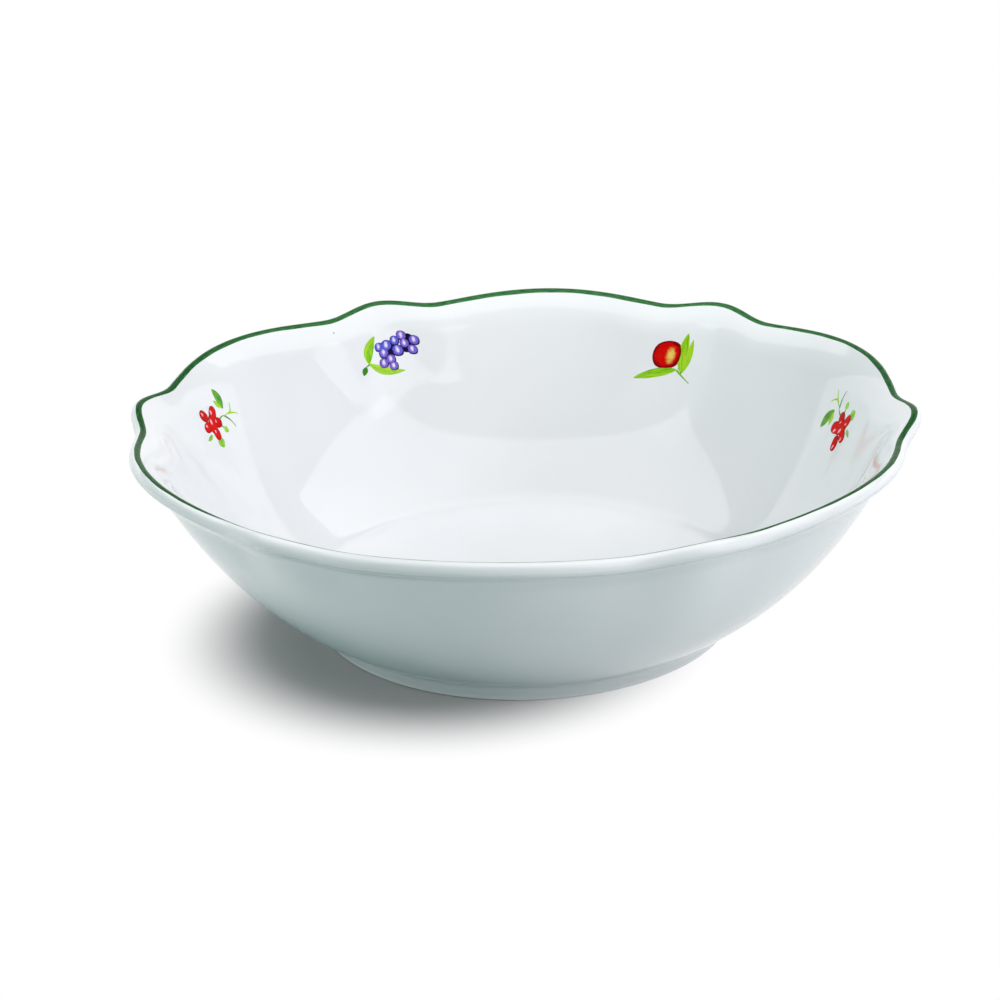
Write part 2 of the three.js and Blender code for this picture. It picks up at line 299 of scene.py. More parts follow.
turn = np.linspace(-np.pi, np.pi, SEGMENTS, endpoint=False)
body_points = glaze_point(along[:, None], turn[None, :]).reshape(-1, 3)
rings = len(section)
body_faces = ring_faces(rings, SEGMENTS)
recess_middle, floor_middle = len(body_points), len(body_points) + 1
last = (rings - 1) * SEGMENTS
for k in range(SEGMENTS):
    after = (k + 1) % SEGMENTS
    body_faces.append((recess_middle, after, k))
    body_faces.append((floor_middle, last + k, last + after))
body_points = np.vstack((body_points, (0, 0, FOOT_RECESS), (0, 0, FLOOR_LEVEL)))
bowl = add_mesh("bowl_glazed_porcelain", body_points, body_faces)
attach(bowl, "root")
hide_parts("porcelain_bowl")
print("body:", len(bowl.data.polygons), "faces")

# %% [markdown]
# ## The glaze
#
# Porcelain is white clay under a layer of glass. One Principled shader gives both: a pale base for
# the clay and a sharp reflection for the glass. Real glaze isn't perfect, and that is what makes it
# believable: it is a little thicker here and there, so the white drifts slowly between cool and
# neutral, its skin is faintly uneven, and a few specks of iron show. The bearing face of the foot ring is
# wiped clean before firing, so it is bare, creamy and matt.

# %% Helpers for material nodes
def srgb(red, green, blue):
    """A colour as painted, 0 to 255, in the linear values that shaders use."""
    c = np.array((red, green, blue)) / 255
    linear = np.where(c <= 0.04045, c / 12.92, ((c + 0.055) / 1.055) ** 2.4)
    return (*linear.tolist(), 1.0)


def add_node(tree, kind, inputs=None, **settings):
    made = tree.nodes.new(kind)
    for name, value in settings.items():
        setattr(made, name, value)
    for socket, value in (inputs or {}).items():
        if isinstance(value, bpy.types.NodeSocket):
            tree.links.new(value, made.inputs[socket])
        else:
            made.inputs[socket].default_value = value
    return made


def add_ramp(tree, factor, *stops):
    """A colour ramp through (position, colour) stops."""
    made = add_node(tree, "ShaderNodeValToRGB", {"Fac": factor})
    elements = made.color_ramp.elements
    while len(elements) < len(stops):
        elements.new(0.5)
    for element, (position, colour) in zip(elements, stops):
        element.position = position
        element.color = colour
    return made.outputs["Color"]


def add_mix(tree, factor, first, second):
    made = add_node(tree, "ShaderNodeMix", data_type="RGBA")
    for socket, value in zip((made.inputs[0], made.inputs[6], made.inputs[7]), (factor, first, second)):
        if isinstance(value, bpy.types.NodeSocket):
            tree.links.new(value, socket)
        else:
            socket.default_value = value
    return made.outputs[2]


def add_range(tree, value, low, high, out_low=0.0, out_high=1.0):
    inputs = {"Value": value, "From Min": low, "From Max": high, "To Min": out_low, "To Max": out_high}
    made = add_node(tree, "ShaderNodeMapRange", inputs, interpolation_type="SMOOTHSTEP")
    return made.outputs["Result"]


def add_math(tree, operation, first, second=0.0):
    made = add_node(tree, "ShaderNodeMath", {0: first, 1: second}, operation=operation)
    return made.outputs[0]


def add_noise(tree, vector, scale, detail):
    inputs = {"Vector": vector, "Scale": scale, "Detail": detail}
    return add_node(tree, "ShaderNodeTexNoise", inputs).outputs["Fac"]


def add_scaled(tree, vector, scale):
    return add_node(tree, "ShaderNodeMapping", {"Vector": vector, "Scale": scale}).outputs["Vector"]


def add_distance(tree, first, second):
    made = add_node(tree, "ShaderNodeVectorMath", {0: first, 1: second}, operation="DISTANCE")
    return made.outputs["Value"]


def add_material(name):
    material = bpy.data.materials.new(name)
    material.use_nodes = True
    tree = material.node_tree
    return material, tree, tree.nodes["Principled BSDF"]


# %% White glaze with specks
GLAZE_COOL = srgb(227, 228, 231)
GLAZE_NEUTRAL = srgb(234, 234, 237)
SPECK = srgb(96, 92, 84)
SPECK_STRENGTH = 0.75
SPECK_FROM = 0.82  # a cell has a speck if its random value is above this

glaze, tree, shader = add_material("glazed_porcelain")
place = add_node(tree, "ShaderNodeTexCoord").outputs["Object"]
white = add_ramp(tree, add_noise(tree, place, 14.0, 2.0), (0.35, GLAZE_COOL), (0.65, GLAZE_NEUTRAL))
cells = add_node(tree, "ShaderNodeTexVoronoi", {"Vector": place, "Scale": 55.0}).outputs
chosen = add_node(tree, "ShaderNodeSeparateColor", {"Color": cells["Color"]}).outputs["Red"]
has_speck = add_math(tree, "GREATER_THAN", chosen, SPECK_FROM)
near_middle = add_range(tree, cells["Distance"], 0.012, 0.022, 1.0, 0.0)
is_speck = add_math(tree, "MULTIPLY", near_middle, has_speck)
speckled = add_mix(tree, add_math(tree, "MULTIPLY", is_speck, SPECK_STRENGTH), white, SPECK)
print("glaze colour:", len(tree.nodes), "nodes")

# %% Bare foot and uneven skin
BARE_CLAY = srgb(222, 214, 200)
BARE_ROUGHNESS = 0.8
GLAZE_IOR = 1.52

above_table = add_node(tree, "ShaderNodeSeparateXYZ", {"Vector": place}).outputs["Z"]
bare = add_range(tree, above_table, 0.12 * MM, 0.35 * MM, 1.0, 0.0)
tree.links.new(add_mix(tree, bare, speckled, BARE_CLAY), shader.inputs["Base Color"])
satin = add_range(tree, add_noise(tree, place, 60.0, 3.0), 0.3, 0.7, 0.035, 0.07)
roughness = add_node(tree, "ShaderNodeMix", {0: bare, 2: satin, 3: BARE_ROUGHNESS}, data_type="FLOAT")
tree.links.new(roughness.outputs[0], shader.inputs["Roughness"])
skin = add_noise(tree, place, 110.0, 1.0)
uneven = add_node(tree, "ShaderNodeBump", {"Height": skin, "Strength": 0.25, "Distance": 0.02 * MM})
tree.links.new(uneven.outputs["Normal"], shader.inputs["Normal"])
shader.inputs["IOR"].default_value = GLAZE_IOR
bowl.data.materials.append(glaze)
print("whole glaze:", len(tree.nodes), "nodes")

# %% [markdown]
# ## A film of colour on the glaze
#
# Enamel is a skin a few hundredths of a millimetre thick. A decal texture would be quicker, but a piece
# of its own keeps a crisp edge from any distance and catches the light as a skin does. Each film is a
# closed pillow: a grid of points on the glaze, lifted a hair off it in the middle, sunk just below it at
# its edge, and closed underneath. The vertices carry a "paint" attribute, which tells the material where
# in the brush stroke, berry or leaf they are.

# %% Closed films over a grid of points
SINK = 0.05  # how far a film's edge and underside lie below the glaze


def grid_faces(rows, columns, start, flipped=False):
    faces = []
    for i in range(rows - 1):
        for j in range(columns - 1):
            corner = start + i * columns + j
            face = (corner, corner + columns, corner + columns + 1, corner + 1)
            faces.append(face[::-1] if flipped else face)
    return faces


def edge_loop(rows, columns):
    """Indices round the edge of a grid, in order."""
    first = [i * columns for i in range(rows)]
    second = [(rows - 1) * columns + j for j in range(1, columns)]
    third = [i * columns + columns - 1 for i in range(rows - 2, -1, -1)]
    fourth = list(range(columns - 2, 0, -1))
    return first + second + third + fourth


def set_paint(made, values):
    attribute = made.data.attributes.new("paint", "FLOAT_VECTOR", "POINT")
    attribute.data.foreach_set("vector", np.asarray(values, np.float32).ravel())


def read_paint(tree):
    """The paint attribute in a material, whole and in its three parts."""
    paint = add_node(tree, "ShaderNodeAttribute", attribute_name="paint").outputs["Vector"]
    return paint, add_node(tree, "ShaderNodeSeparateXYZ", {"Vector": paint}).outputs


class Film:
    """Pillows of one colour, gathered into one mesh."""

    def __init__(self):
        self.points, self.faces, self.paint, self.count = [], [], [], 0

    def add(self, top, bottom, paint):
        rows, columns = top.shape[:2]
        size = rows * columns
        self.faces += grid_faces(rows, columns, self.count)
        self.faces += grid_faces(rows, columns, self.count + size, flipped=True)
        loop = edge_loop(rows, columns)
        for a, b in zip(loop, loop[1:] + loop[:1]):
            self.faces.append((self.count + b, self.count + a, self.count + size + a, self.count + size + b))
        self.points += [top.reshape(-1, 3), bottom.reshape(-1, 3)]
        self.paint += [paint.reshape(-1, 3)] * 2
        self.count += 2 * size

    def make(self, name, node, material):
        made = add_mesh(name, np.vstack(self.points), self.faces)
        set_paint(made, np.vstack(self.paint))
        made.data.materials.append(material)
        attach(made, "root")
        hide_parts(node)
        return made


# %% [markdown]
# ## The green rim line
#
# The line is laid with a brush held still while the bowl turns. It covers the crest of the lip and
# laps a little way down the inside, further on the far side. Its edges waver by about a tenth of a
# millimetre, at the front the brush has drifted inwards, and the colour is darker where it left more.
# A curve with a bevel would lie on the lip like a wire; a film that follows the section lies flat.

# %% Where the brush went
# Where the line starts on the lip, as (degrees round the bowl, degrees on the lip; 90 is its crest).
LINE_EDGE = (
    (-180, 71), (-165, 74), (-146, 74), (-136, 73), (-129, 101), (-96, 104),
    (-61, 101), (-53, 80), (-33, 79), (-15, 75), (10, 71), (180, 71),
)
LINE_SWAY = 0.6  # how far it strayed outwards on one side
SWAY_SIDE = np.radians(20)
LINE_LAP = 0.55  # how far it runs down the inside
LINE_SWELL = 0.85  # and how much further on the far side
LINE_ROWS = 12

lip_from = int(np.argmin(np.linalg.norm(section - lip[0], axis=1)))
lip_to = int(np.argmin(np.linalg.norm(section - lip[-1], axis=1)))
line_turn = np.linspace(-np.pi, np.pi, 2 * SEGMENTS, endpoint=False)
edge_turn, edge_angle = np.array(LINE_EDGE, float).T
start_angle = np.interp(np.degrees(line_turn), edge_turn, edge_angle)
sway = LINE_SWAY * np.clip(np.cos(line_turn - SWAY_SIDE), 0, 1) ** 2
up_the_lip = np.radians(start_angle - (FLARE_ANGLE - 90)) * LIP_THICKNESS / 2
line_start = along[lip_from] + up_the_lip - sway
line_end = along[lip_to] + LINE_LAP + LINE_SWELL * np.clip(np.sin(line_turn), 0, 1) - sway
waver_out = 0.07 * np.sin(23 * line_turn + 0.4) + 0.05 * np.sin(61 * line_turn + 2.0)
waver_in = 0.08 * np.sin(19 * line_turn + 1.1) + 0.05 * np.sin(53 * line_turn + 0.3)
line_width = line_end - line_start
print("rim line: %.1f to %.1f mm wide" % (line_width.min(), line_width.max()))

# %% Lay the rim line
LINE_FILM = 0.06

across = np.linspace(0, 1, LINE_ROWS)
spread = (line_start + waver_out) * (1 - across[:, None]) + (line_end + waver_in) * across[:, None]
swell = np.sin(np.pi * across) ** 0.4
lift = (-SINK + (SINK + LINE_FILM) * swell)[:, None]
line_top = glaze_point(spread, line_turn[None, :], lift)
line_bottom = glaze_point(spread, line_turn[None, :], -SINK)
round_count = len(line_turn)
line_points = np.vstack((line_top.reshape(-1, 3), line_bottom[::-1].reshape(-1, 3)))
line_faces = ring_faces(2 * LINE_ROWS, round_count)
final_ring = (2 * LINE_ROWS - 1) * round_count
for k in range(round_count):
    after = (k + 1) % round_count
    line_faces.append((final_ring + k, final_ring + after, after, k))
rim_line = add_mesh("rim_line_green_enamel", line_points, line_faces)
stroke = np.zeros((2 * LINE_ROWS, round_count, 3))
stroke[:, :, 0] = line_turn[None, :]
stroke[:, :, 1] = np.concatenate((across, across[::-1]))[:, None]
set_paint(rim_line, stroke)
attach(rim_line, "root")
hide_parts("green_rim_line")
print("rim line:", len(rim_line.data.polygons), "faces")

# %% The line's enamel
LINE_DEEP = srgb(12, 58, 18)
LINE_MIDDLE = srgb(30, 88, 38)
LINE_THIN = srgb(66, 126, 74)
EDGE_THINNING = 0.35
FAR_SIDE_PALING = 0.17  # the line's colour is made paler towards the far side

line_enamel, tree, shader = add_material("green_line_enamel")
paint, laid = read_paint(tree)
brush = add_noise(tree, add_scaled(tree, paint, (9.0, 3.0, 1.0)), 4.0, 4.0)
from_middle = add_math(tree, "ABSOLUTE", add_math(tree, "SUBTRACT", laid["Y"], 0.5))
paleness = add_math(tree, "ADD", brush, add_math(tree, "MULTIPLY", from_middle, EDGE_THINNING))
# the colour is made paler towards the far side (+Y)
far_side = add_range(tree, add_math(tree, "SINE", laid["X"]), 0.0, 1.0, 0.0, FAR_SIDE_PALING)
paleness = add_math(tree, "ADD", paleness, far_side)
shade = add_ramp(tree, paleness, (0.38, LINE_DEEP), (0.6, LINE_MIDDLE), (0.85, LINE_THIN))
tree.links.new(shade, shader.inputs["Base Color"])
tree.links.new(add_range(tree, brush, 0.3, 0.7, 0.2, 0.34), shader.inputs["Roughness"])
shader.inputs["Specular IOR Level"].default_value = 0.06
rim_line.data.materials.append(line_enamel)
print("line enamel:", len(tree.nodes), "nodes")

# %% [markdown]
# ## The fruit sprigs
#
# Sprigs like these are printed as transfers and slid on wet, so they bend with the wall. Here each one
# is drawn flat, in millimetres, and then laid on the glaze: across becomes an angle round the bowl
# and up becomes a distance along the section. Berries are squares of points pushed out into discs; leaves
# are strips that swell and close to a point.

# %% From a flat drawing to the wall
SPRIG_LEVEL = HEIGHT - 17.0
EDGE_SHARE = 0.12  # a film rises to its height over this share of its body

inner_to = int(np.argmin(np.linalg.norm(section - well_start, axis=1)))
inside = slice(lip_to, inner_to)
sprig_distance = np.interp(-SPRIG_LEVEL, -section[inside, 1], along[inside])
print("sprigs: %.0f mm up, %.1f mm along the section" % (SPRIG_LEVEL, sprig_distance))


def on_wall(flat, spot, lift):
    """Flat points (x to the right, y up, seen from inside the bowl) laid on the inner wall."""
    angle, turned, rise = spot
    ahead, left = unit(turned), unit(turned + 90)
    flat = flat[..., :1] * ahead + flat[..., 1:] * left
    distance = sprig_distance - rise - flat[..., 1]
    radius = np.interp(distance, along, section[:, 0])
    return glaze_point(distance, np.radians(angle) - flat[..., 0] / radius, lift)


def lay(film, flat, spot, body, film_height, dome, paint):
    """Add a pillow: body is 0 at the outline and 1 in the middle."""
    full = np.clip(body / EDGE_SHARE, 0, 1)
    lift = -SINK + (SINK + film_height) * full * (2 - full) + dome * body
    film.add(on_wall(flat, spot, lift), on_wall(flat, spot, np.full_like(lift, -SINK)), paint)


# %% A berry as a flat drawing
def lay_berry(film, centre, direction, long, short, spot, film_height, dome, tone):
    side = np.linspace(-1, 1, 15)
    u, v = np.meshgrid(side, side, indexing="ij")
    disc = np.stack((u * np.sqrt(1 - v**2 / 2), v * np.sqrt(1 - u**2 / 2)), axis=-1)
    body = np.clip(1 - np.sum(disc**2, axis=-1), 0, 1)
    flat = centre + long * disc[..., :1] * unit(direction) + short * disc[..., 1:] * unit(direction + 90)
    upright = disc[..., :1] * unit(direction) + disc[..., 1:] * unit(direction + 90)
    paint = np.concatenate((upright, np.full((*body.shape, 1), tone)), axis=-1)
    lay(film, flat, spot, body, film_height, dome, paint)


# %% Leaves and stalks as flat drawings
LEAF_FILM = 0.03
STALK_FILM = 0.02
STRIP_DOME = 0.02


def lay_strip(film, base, direction, length, half_width, bend, spot, tone, film_height):
    """A strip along a gently bent line; half_width gives its half width at each share of its length."""
    share = np.linspace(0.004, 0.996, 31)[:, None]
    side = np.linspace(-1, 1, 11)[None, :]
    ahead, left = unit(direction), unit(direction + 90)
    middle = length * share[..., None] * ahead + 4 * bend * (share * (1 - share))[..., None] * left
    flat = base + middle + (half_width(share) * side)[..., None] * left
    body = (1 - side**2) * np.clip(share * (1 - share) * 12, 0, 1)
    paint = np.stack(np.broadcast_arrays(share, side, np.float64(tone)), axis=-1)
    lay(film, flat, spot, body, film_height, STRIP_DOME, paint)


def lay_leaf(film, x, y, direction, length, width, bend, tone, spot):
    def blade(share):
        return width / 2 * (4 * share * (1 - share)) ** 0.8 * (1.15 - 0.3 * share)

    lay_strip(film, np.array((x, y)), direction, length, blade, bend, spot, tone, LEAF_FILM)


def lay_stalk(film, x, y, direction, length, width, bend, tone, spot):
    def taper(share):
        return width / 2 * (1.1 - 0.75 * share)

    lay_strip(film, np.array((x, y)), direction, length, taper, bend, spot, tone, STALK_FILM)


# %% The three designs
# Fruits have a place in fruit radii, a direction and a size; a shade is a dark dab between them.
# Leaves and stalks have a place in millimetres, direction, length, width, bend and tone (0 dark to 1 light).
RED_BERRIES = {
    "fruit": "red_berries",
    "slot": "red_enamel",
    "radius": 2.1,
    "stretch": 1.4,
    "bunch": [
        (-1.0, 0.5, -22, 1.0), (-4.35, 1.05, 174, 1.0), (-2.75, -0.75, 268, 1.05),
        (-4.1, 3.1, 132, 1.05), (-1.25, 2.2, 38, 1.15), (-2.5, 0.9, 60, 1.35),
    ],
    "shades": [],
    "leaves": [
        (5.0, 3.2, 94, 8.2, 4.2, -0.6, 0.2), (4.8, 3.9, 128, 5.0, 2.2, 0.2, 0.9),
        (-5.9, -3.4, 268, 4.0, 4.6, 0.0, 0.6), (-9.0, -1.0, 188, 4.4, 1.8, 0.1, 0.5),
        (0.1, -1.9, -60, 2.8, 2.8, 0.0, 0.75),
    ],
    "stalks": [
        (0.3, 1.3, -4, 3.8, 0.8, 0.25, 0.25), (3.6, 1.0, -62, 6.5, 0.9, 0.7, 0.1),
        (4.4, 0.9, 2, 4.0, 0.5, 0.0, 0.8), (6.0, 0.8, -22, 5.6, 0.9, 0.4, 0.85),
        (7.8, 0.7, 56, 3.8, 0.9, -0.3, 0.85), (-1.0, -0.2, -60, 2.4, 1.0, 0.0, 0.0),
    ],
}
ROUND_FRUIT = {
    "fruit": "round_fruit",
    "slot": "orange_red_enamel",
    "radius": 5.8,
    "stretch": 1.0,
    "bunch": [(0.05, 0.24, 0, 1.0)],
    "shades": [],
    "leaves": [
        (5.2, -4.3, 196.5, 16.4, 3.9, -0.7, 0.7), (7.1, -5.8, 91, 15.2, 4.4, 0.7, 0.75),
        (7.2, -5.6, 81.5, 12.8, 2.8, -0.4, 0.95),
    ],
    "stalks": [(5.0, -4.4, -38, 7.4, 0.9, -0.2, 0.5), (5.6, -3.4, -62, 3.0, 1.0, 0.2, 0.3)],
}
BLUE_BERRIES = {
    "fruit": "blue_berries",
    "slot": "violet_blue_enamel",
    "radius": 2.1,
    "stretch": 1.0,
    "bunch": [
        (-2.2, 2.4, 0, 0.85), (-0.2, -1.3, 0, 0.9), (-1.85, -0.5, 0, 0.95), (0.85, 3.0, 0, 0.9),
        (3.65, 1.3, 0, 0.95), (2.2, 3.8, 0, 0.95), (4.25, 3.0, 0, 1.0), (2.5, 2.4, 0, 0.9),
        (-1.5, 1.2, 0, 1.0), (-0.45, -0.1, 0, 0.95), (1.1, 1.25, 0, 1.1), (-0.75, 2.35, 0, 1.05),
    ],
    "shades": [(-0.1, 0.95), (3.3, 3.4), (2.6, 1.5), (0.2, 2.0), (3.5, 2.3)],
    "leaves": [
        (-9.8, 0.2, 64, 10.2, 4.6, 1.3, 0.7), (-9.9, 0.6, -22, 14.6, 3.4, -1.9, 0.85),
        (-11.2, -0.3, 240, 3.4, 2.6, 0.0, -0.15),
    ],
    "stalks": [(-9.6, 0.1, 200, 2.0, 0.9, 0.0, 0.3)],
}
for design in (RED_BERRIES, ROUND_FRUIT, BLUE_BERRIES):
    print(design["fruit"], "has", len(design["bunch"]), "fruits and", len(design["leaves"]), "leaves")

# %% [markdown]
# ## The sprigs' enamels
#
# A transfer is printed colour by colour, and each colour is a thin glass that softens in the kiln. So the
# edges are a little ragged and the tones are washed. Each fruit is shaded like a small ball by its paint
# attribute, which holds the place on the fruit and the fruit's number. An image of a berry would look right
# from one distance; a formula stays sharp close up.


# %% Enamels of the fruit
RAGGED = 0.12  # how far edges stray, in fruit radii
GLINT_SQUEEZE = (1.35, 0.8, 1.0)  # a glint is narrow and tall


def fruit_enamel(name, deep, edge, flesh, other_flesh, glint, glint_at, glint_size):
    """Shaded like a small ball: deep between the fruits, an edge, flesh of two kinds and a glint."""
    material, tree, shader = add_material(name)
    paint, parts = read_paint(tree)
    flat = add_node(tree, "ShaderNodeCombineXYZ", {"X": parts["X"], "Y": parts["Y"]}).outputs[0]
    wash = add_noise(tree, paint, 3.5, 4.0)
    stray = add_range(tree, wash, 0.25, 0.75, -RAGGED, RAGGED)
    each = add_node(tree, "ShaderNodeTexWhiteNoise", {"W": parts["Z"]}, noise_dimensions="1D")
    blend = add_math(tree, "MULTIPLY", each.outputs["Value"], 0.6)
    blend = add_math(tree, "ADD", blend, add_math(tree, "MULTIPLY", wash, 0.5))
    inside = add_mix(tree, add_range(tree, blend, 0.25, 0.75), flesh, other_flesh)
    radius = add_node(tree, "ShaderNodeVectorMath", {0: flat}, operation="LENGTH").outputs["Value"]
    ragged = add_math(tree, "ADD", radius, stray)
    ball = add_mix(tree, add_range(tree, ragged, 0.72, 1.0), inside, edge)
    middle = (GLINT_SQUEEZE[0] * glint_at[0], GLINT_SQUEEZE[1] * glint_at[1], 0.0)
    away = add_distance(tree, add_scaled(tree, flat, GLINT_SQUEEZE), middle)
    ragged_away = add_math(tree, "ADD", away, stray)
    on_glint = add_range(tree, ragged_away, glint_size * 0.25, glint_size, 0.95, 0.0)
    lit = add_mix(tree, on_glint, ball, glint)
    under = add_math(tree, "LESS_THAN", parts["Z"], 0.0)
    tree.links.new(add_mix(tree, under, lit, deep), shader.inputs["Base Color"])
    tree.links.new(add_range(tree, wash, 0.3, 0.7, 0.12, 0.24), shader.inputs["Roughness"])
    shader.inputs["Specular IOR Level"].default_value = 0.05
    return material


fruit_enamels = {
    "red_berries": fruit_enamel(
        "red_berry_enamel", srgb(140, 0, 6), srgb(156, 0, 6), srgb(196, 0, 0), srgb(210, 6, 2),
        srgb(250, 190, 196), (-0.25, 0.35), 0.34,
    ),
    "blue_berries": fruit_enamel(
        "blue_berry_enamel", srgb(14, 10, 48), srgb(38, 30, 108), srgb(88, 94, 208), srgb(126, 98, 200),
        srgb(234, 220, 248), (-0.05, 0.1), 0.6,
    ),
    "round_fruit": fruit_enamel(
        "round_fruit_enamel", srgb(120, 0, 10), srgb(128, 0, 10), srgb(204, 4, 4), srgb(222, 36, 10),
        srgb(230, 200, 96), (0.26, -0.06), 0.56,
    ),
}
print("fruit enamels:", ", ".join(fruit_enamels))

# %% Enamel of the leaves
LEAF_DARK = srgb(34, 122, 18)
LEAF_MIDDLE = srgb(112, 186, 16)
LEAF_LIGHT = srgb(168, 212, 30)
LEAF_EDGE = srgb(208, 228, 150)

leaf_enamel, tree, shader = add_material("leaf_enamel")
paint, parts = read_paint(tree)
wash = add_noise(tree, add_scaled(tree, paint, (1.6, 2.6, 7.0)), 2.2, 4.0)
tone = add_math(tree, "ADD", parts["Z"], add_range(tree, wash, 0.3, 0.7, -0.35, 0.35))
shade_side = add_math(tree, "ADD", tone, add_math(tree, "MULTIPLY", parts["Y"], 0.16))
blade = add_ramp(tree, shade_side, (0.0, LEAF_DARK), (0.45, LEAF_MIDDLE), (0.95, LEAF_LIGHT))
from_rib = add_math(tree, "ABSOLUTE", parts["Y"])
ribbed = add_mix(tree, add_range(tree, from_rib, 0.03, 0.16, 0.2, 0.0), blade, LEAF_DARK)
ragged = add_math(tree, "ADD", from_rib, add_range(tree, wash, 0.3, 0.7, -0.1, 0.1))
washed_out = add_range(tree, ragged, 0.84, 1.05, 0.0, 0.7)
tree.links.new(add_mix(tree, washed_out, ribbed, LEAF_EDGE), shader.inputs["Base Color"])
tree.links.new(add_range(tree, wash, 0.3, 0.7, 0.12, 0.24), shader.inputs["Roughness"])
shader.inputs["Specular IOR Level"].default_value = 0.3
print("leaf enamel:", len(tree.nodes), "nodes")

# %% Lay all sprigs
# Each sprig has a design, an angle from +X, a turn in the wall and a rise. The first four are seen in the
# photograph; on the near half, which is hidden, the designs go on in the same order.
SPRIGS = [
    (RED_BERRIES, 20.5, 158, 2.0), (ROUND_FRUIT, 67, 0, 0.0), (BLUE_BERRIES, 120, 0, 0.0),
    (RED_BERRIES, 164, 0, 0.0), (ROUND_FRUIT, 214, -10, 0.0), (BLUE_BERRIES, 254, 12, 0.0),
    (RED_BERRIES, 294, 0, 0.0), (ROUND_FRUIT, 335, 8, 0.0),
]
DAB_SHARE = 0.8  # size of a dark dab, in fruit radii
DAB_FILM = 0.05
COAT_FILM = 0.06  # the dark coat under a fruit
COAT_SHIFT = np.array((0.1, -0.12))  # it peeps out below the fruit, in millimetres
FRUIT_SHARE = 0.93  # size of the light coat on top of it
FRUIT_FILM = 0.09
FRUIT_STEP = 0.004  # each fruit of a bunch lies this much above the one before
FRUIT_DOME = 0.05
UNDER = -1.0  # the paint number of dark coats

for number, (design, *spot) in enumerate(SPRIGS, start=1):
    green = Film()
    for leaf in design["leaves"]:
        lay_leaf(green, *leaf, spot)
    for stalk in design["stalks"]:
        lay_stalk(green, *stalk, spot)
    node = f"sprig_{number}_leaves"
    green.make(node + "_enamel", node, leaf_enamel)
    fruit = Film()
    radius, stretch = design["radius"], design["stretch"]
    for x, y in design["shades"]:
        dab = DAB_SHARE * radius
        lay_berry(fruit, radius * np.array((x, y)), 0, dab, dab, spot, DAB_FILM, 0.0, UNDER)
    for x, y, direction, size in design["bunch"]:
        centre, short = radius * np.array((x, y)) + COAT_SHIFT, radius * size
        lay_berry(fruit, centre, direction, short * stretch, short, spot, COAT_FILM, 0.0, UNDER)
    for order, (x, y, direction, size) in enumerate(design["bunch"]):
        centre, short = radius * np.array((x, y)), FRUIT_SHARE * radius * size
        film_height = FRUIT_FILM + FRUIT_STEP * order
        lay_berry(fruit, centre, direction, short * stretch, short, spot, film_height, FRUIT_DOME, order + 1.0)
    node = f"sprig_{number}_{design['fruit']}"
    fruit.make(node + "_enamel", node, fruit_enamels[design["fruit"]])
print("sprigs laid:", len(SPRIGS))

# %% [markdown]
# ## The sheet
#
# The bowl stands on a white sheet that rises behind it. In a studio such a sheet is lit until it is plain
# white. Here it is shown as white to camera, mirror and glass rays, which adds no light to the bowl.
# Only round the foot does the paper itself show, so the bowl keeps its shadow. What the paper throws
# back at the bowl is faintly cool, like the shade under the real one.

# %% The sheet's mesh
FLOOR_SIZE = 12.0
BACKDROP_AT = 2.6  # behind the bowl
BACKDROP_HEIGHT = 1.4

half = FLOOR_SIZE / 2
sheet_points = [
    (-half, -half, 0), (half, -half, 0), (half, BACKDROP_AT, 0), (-half, BACKDROP_AT, 0),
    (half, BACKDROP_AT, BACKDROP_HEIGHT), (-half, BACKDROP_AT, BACKDROP_HEIGHT),
]
sheet_mesh = bpy.data.meshes.new("sheet")
sheet_mesh.from_pydata(sheet_points, [], [(0, 1, 2, 3), (3, 2, 4, 5)])
sheet = bpy.data.objects.new("sheet", sheet_mesh)
bpy.context.scene.collection.objects.link(sheet)
print("sheet:", FLOOR_SIZE, "m wide")

# %% The sheet's white
SHADOW_AT = (-0.0265, -0.0165, 0.0)
SHADOW_CORE = 0.052  # from there to its rim the shadow fades out
SHADOW_RIM = 0.091
PAPER_SEEN = (0.49, 0.475, 0.48, 1.0)  # in the shadow
PAPER_BOUNCE = (0.375, 0.46, 0.465, 1.0)  # what it throws back at the bowl

sheet_white = bpy.data.materials.new("sheet_white")
sheet_white.use_nodes = True
tree = sheet_white.node_tree
tree.nodes.clear()
path = add_node(tree, "ShaderNodeLightPath").outputs
seen = add_math(tree, "MAXIMUM", path["Is Camera Ray"], path["Is Glossy Ray"])
seen = add_math(tree, "MAXIMUM", seen, path["Is Transmission Ray"])
place = add_node(tree, "ShaderNodeTexCoord").outputs["Object"]
past_core = add_range(tree, add_distance(tree, place, SHADOW_AT), SHADOW_CORE, SHADOW_RIM)
outside = add_math(tree, "MULTIPLY", past_core, seen)
tint = add_mix(tree, path["Is Camera Ray"], PAPER_BOUNCE, PAPER_SEEN)
paper = add_node(tree, "ShaderNodeBsdfDiffuse", {"Color": tint})
shine = add_node(tree, "ShaderNodeEmission", {"Color": (1.0, 1.0, 1.0, 1.0), "Strength": 1.0})
whole = add_node(tree, "ShaderNodeMixShader", {0: outside, 1: paper.outputs[0], 2: shine.outputs[0]})
add_node(tree, "ShaderNodeOutputMaterial", {"Surface": whole.outputs[0]})
sheet_mesh.materials.append(sheet_white)
print("sheet's white:", len(tree.nodes), "nodes")

# %% [markdown]
# ## The lamps
#
# Glaze shows its lamps twice: as light on the white clay and as images in the glass. A wide soft lamp
# hangs above and behind, and its image is the pale band low on the wall and the pale strip under the rim.
# Panels on the right and the left are mirrored as softer patches. Two fills light the outside and are hidden
# from mirror rays, because the bowl shows no image of them. The room adds a little cool light from all sides.

# %% Room and lamps
ROOM_LIGHT = (0.7, 1.0, 0.93, 1.0)
ROOM_STRENGTH = 0.21
MAIN_LIGHT = (1.0, 0.97, 0.99)
FILL_LIGHT = (0.93, 1.0, 0.95)
MIDDLE = (0.0, 0.0, 0.05)  # of the bowl, where most lamps point

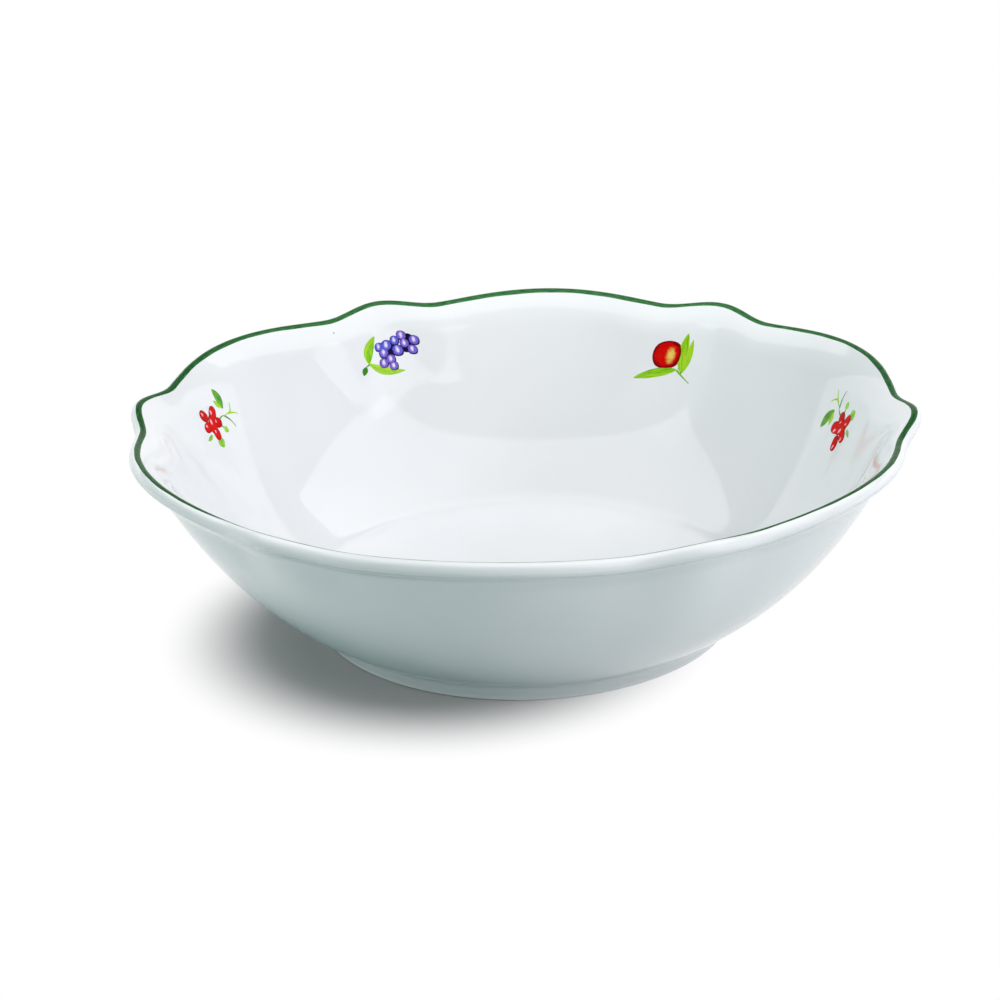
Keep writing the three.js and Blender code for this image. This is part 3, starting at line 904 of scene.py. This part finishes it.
world = bpy.data.worlds.new("studio")
world.use_nodes = True
bpy.context.scene.world = world
room = world.node_tree.nodes["Background"]
room.inputs["Color"].default_value = ROOM_LIGHT
room.inputs["Strength"].default_value = ROOM_STRENGTH


def add_lamp(name, width, depth, watts, position, target, colour):
    lamp = bpy.data.lights.new(name, "AREA")
    lamp.shape = "RECTANGLE"
    lamp.size, lamp.size_y = width, depth
    lamp.energy = watts
    lamp.color = colour
    made = bpy.data.objects.new(name, lamp)
    made.location = position
    made.rotation_euler = (Vector(target) - Vector(position)).to_track_quat("-Z", "Y").to_euler()
    bpy.context.scene.collection.objects.link(made)
    return made


lamps = [
    add_lamp("lamp_above", 2.3, 1.5, 15.4, (0.04, 0.42, 1.1), (0.04, 0.42, 0.0), MAIN_LIGHT),
    add_lamp("lamp_right", 0.8, 1.05, 3.5, (0.98, -0.61, 0.59), MIDDLE, MAIN_LIGHT),
    add_lamp("lamp_left", 0.6, 0.9, 1.0, (-0.93, -0.43, 0.75), MIDDLE, FILL_LIGHT),
]
fills = [
    add_lamp("fill_right", 0.8, 0.8, 7.2, (1.03, -0.58, 0.52), MIDDLE, MAIN_LIGHT),
    add_lamp("fill_left", 0.9, 0.4, 4.6, (-1.14, -0.42, 0.33), MIDDLE, FILL_LIGHT),
]
for fill in fills:
    fill.visible_glossy = False  # lights the bowl but isn't mirrored in it
print("lamps:", ", ".join(made.name for made in lamps + fills))

# %% [markdown]
# ## The camera
#
# The viewpoint comes from measuring the rim and the foot in the photograph: a long lens, 22 degrees
# above the table, turned a little about its own axis.

# %% Camera at the photograph's viewpoint
CAMERA_AT = Vector((0.07265, -0.7373, 0.34198))
CAMERA_AIM = Vector((-0.00736, -0.0008, 0.03819))
CAMERA_ROLL = np.radians(-1.62)
CAMERA_LENS = 90.0  # on a sensor 36 mm wide

bpy.context.scene.view_settings.view_transform = "Standard"
camera_data = bpy.data.cameras.new("camera")
camera_data.sensor_width = 36.0
camera_data.lens = CAMERA_LENS
camera_data.clip_start = 0.01
camera = bpy.data.objects.new("camera", camera_data)
bpy.context.scene.collection.objects.link(camera)
facing = (CAMERA_AIM - CAMERA_AT).to_track_quat("-Z", "Y").to_matrix().to_4x4()
camera.matrix_world = Matrix.Translation(CAMERA_AT) @ facing @ Matrix.Rotation(CAMERA_ROLL, 4, "Z")
bpy.context.scene.camera = camera
print("camera: %.0f mm from the bowl's axis" % (1000 * CAMERA_AT.xy.length))
